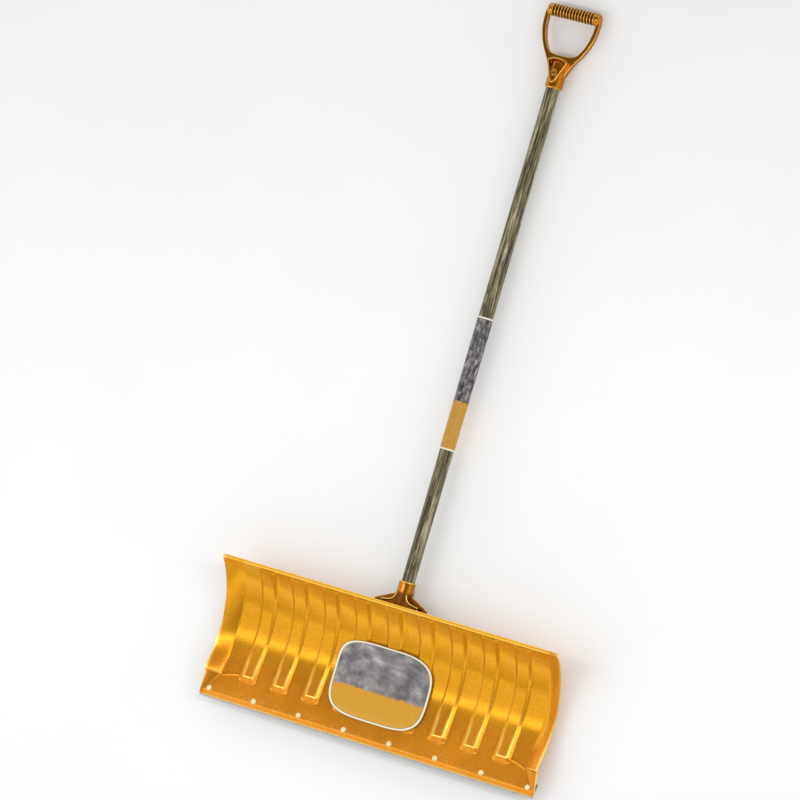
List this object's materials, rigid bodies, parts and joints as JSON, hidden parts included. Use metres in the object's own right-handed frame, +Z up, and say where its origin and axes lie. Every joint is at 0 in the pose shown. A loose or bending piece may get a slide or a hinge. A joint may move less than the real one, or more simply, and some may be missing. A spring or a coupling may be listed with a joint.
{
  "type": "snow pusher",
  "caption": "Wide snow pusher with a curled, fluted plastic blade, a riveted steel wear strip, a socket bracket, a long straight wooden shaft and a D-grip.",
  "frame": {"origin": "on the surface the tool lies on, under the middle of its box", "axes": "+X across the blade, +Y along the shaft from the blade to the grip, +Z up and out of the blade's face; the tool lies on its back"},
  "size_m": [0.7634, 1.521, 0.1024],
  "materials": {
    "blade": "satin pearl gold, moulded",
    "moulded_fittings": "satin pearl gold-brown, moulded",
    "wear_strip": "galvanised sheet",
    "rivets": "domed, satin",
    "screws": "zinc plated",
    "shaft": "grey-brown stain, satin",
    "labels": null
  },
  "bodies": {
    "root": {"blade": "blade", "wear_strip": "wear_strip", "socket_bracket": "moulded_fittings", "grip": "moulded_fittings", "shaft": "shaft", "socket_screw": "screws", "grip_screw": "screws", "blade_label": "labels", "shaft_label": "labels", "strip_rivet_1": "rivets", "strip_rivet_2": "rivets", "strip_rivet_3": "rivets", "strip_rivet_4": "rivets", "strip_rivet_5": "rivets", "strip_rivet_6": "rivets", "strip_rivet_7": "rivets", "strip_rivet_8": "rivets", "bracket_screw_1": "screws", "bracket_screw_2": "screws", "bracket_screw_3": "screws", "bracket_screw_4": "screws", "bracket_screw_5": "screws"}
  },
  "joints": []
}
